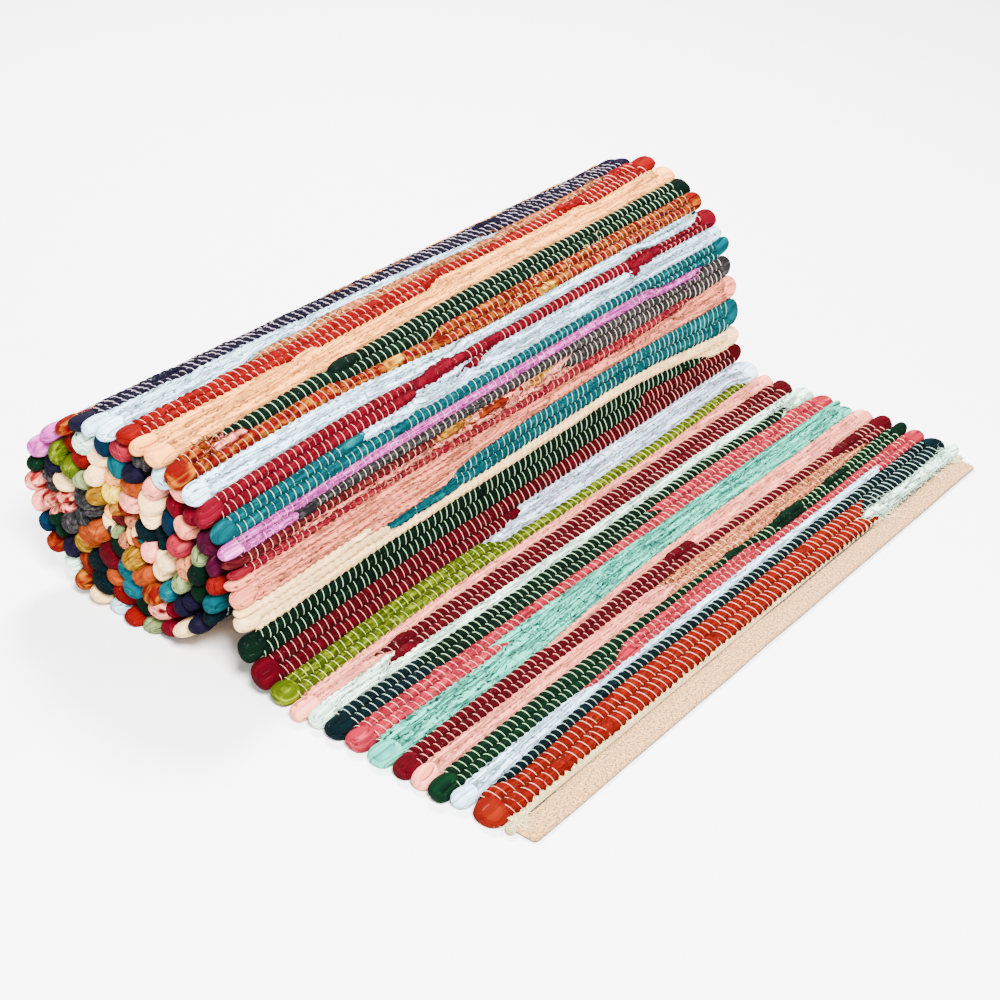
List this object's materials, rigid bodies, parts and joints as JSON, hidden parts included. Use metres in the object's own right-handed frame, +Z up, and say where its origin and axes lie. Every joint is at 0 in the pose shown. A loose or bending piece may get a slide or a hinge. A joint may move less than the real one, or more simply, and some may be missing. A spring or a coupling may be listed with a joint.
{
  "type": "rag rug",
  "caption": "Striped woven rag rug, partly unrolled: a flat hemmed end that climbs over its own roll, with scalloped selvedges at both ends of the roll.",
  "frame": {"origin": "on the floor, under the middle of the partly unrolled rug", "axes": "+X from the roll towards the free hem, +Y across the cloth from the near to the far long edge, +Z up from the floor"},
  "size_m": [0.4652, 0.6152, 0.1734],
  "materials": {
    "rag": "matt woven cotton rag in many colours, with thin white cotton warp"
  },
  "bodies": {
    "root": {"rug": "rag"}
  },
  "joints": []
}
